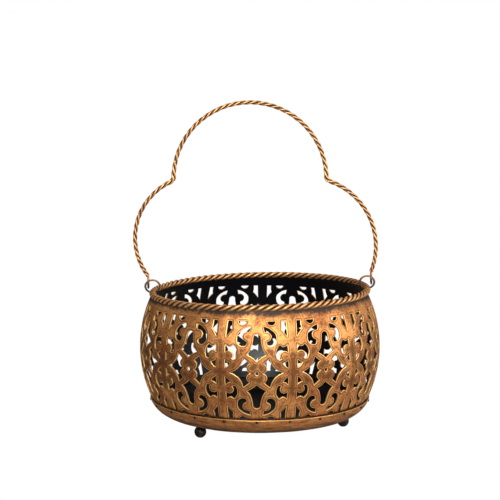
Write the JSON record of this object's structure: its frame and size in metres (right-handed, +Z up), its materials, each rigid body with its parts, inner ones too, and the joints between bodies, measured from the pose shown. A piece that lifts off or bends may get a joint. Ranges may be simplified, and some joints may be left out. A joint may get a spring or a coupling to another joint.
{
  "type": "tealight holder",
  "caption": "Pierced ball-shaped tealight bowl on ball feet, with a riveted base pan, a twisted rope rim and a swinging twisted-wire carry handle in two wire ears.",
  "frame": {"origin": "on the table, under the bowl's upright axis", "axes": "+Z up, +Y away from the front, +X to the right; the handle's loop lies in the XZ plane"},
  "size_m": [0.1847, 0.18, 0.243],
  "materials": {
    "sheet_gold": "antique gold plate over copper, worn bright at the pierced edges, brown patina in the hollows, satin black inside",
    "wire_gold": "antique gold wire with black patina in the grooves between its strands",
    "dark_bronze": "dark bronze, nearly black, with worn brown highlights"
  },
  "bodies": {
    "bowl": {"pierced_wall": "sheet_gold", "base_pan": "sheet_gold", "lip_rivets": "dark_bronze", "rim_rope": "wire_gold", "left_foot": "dark_bronze", "right_foot": "dark_bronze", "back_foot": "dark_bronze"},
    "left_ear": {"left_ear": "wire_gold"},
    "right_ear": {"right_ear": "wire_gold"},
    "handle": {"handle": "wire_gold"}
  },
  "joints": [
    {"name": "left_ear_lean", "type": "hinge", "parent": "bowl", "child": "left_ear", "pos_m": [-0.08043, 0, 0.09942], "axis": [0.9998, 0, 0.0209], "range_deg": [-25, 25]},
    {"name": "right_ear_lean", "type": "hinge", "parent": "bowl", "child": "right_ear", "pos_m": [0.08043, 0, 0.10279], "axis": [0.9998, 0, 0.0209], "range_deg": [-25, 25]},
    {"name": "handle_swing", "type": "hinge", "parent": "left_ear", "child": "handle", "pos_m": [-0.08373, 0, 0.10917], "axis": [0.9998, 0, 0.0209], "range_deg": [-85, 85]}
  ],
  "couplings": [
    {"joint": "right_ear_lean", "follows": "left_ear_lean", "ratio": 1}
  ]
}
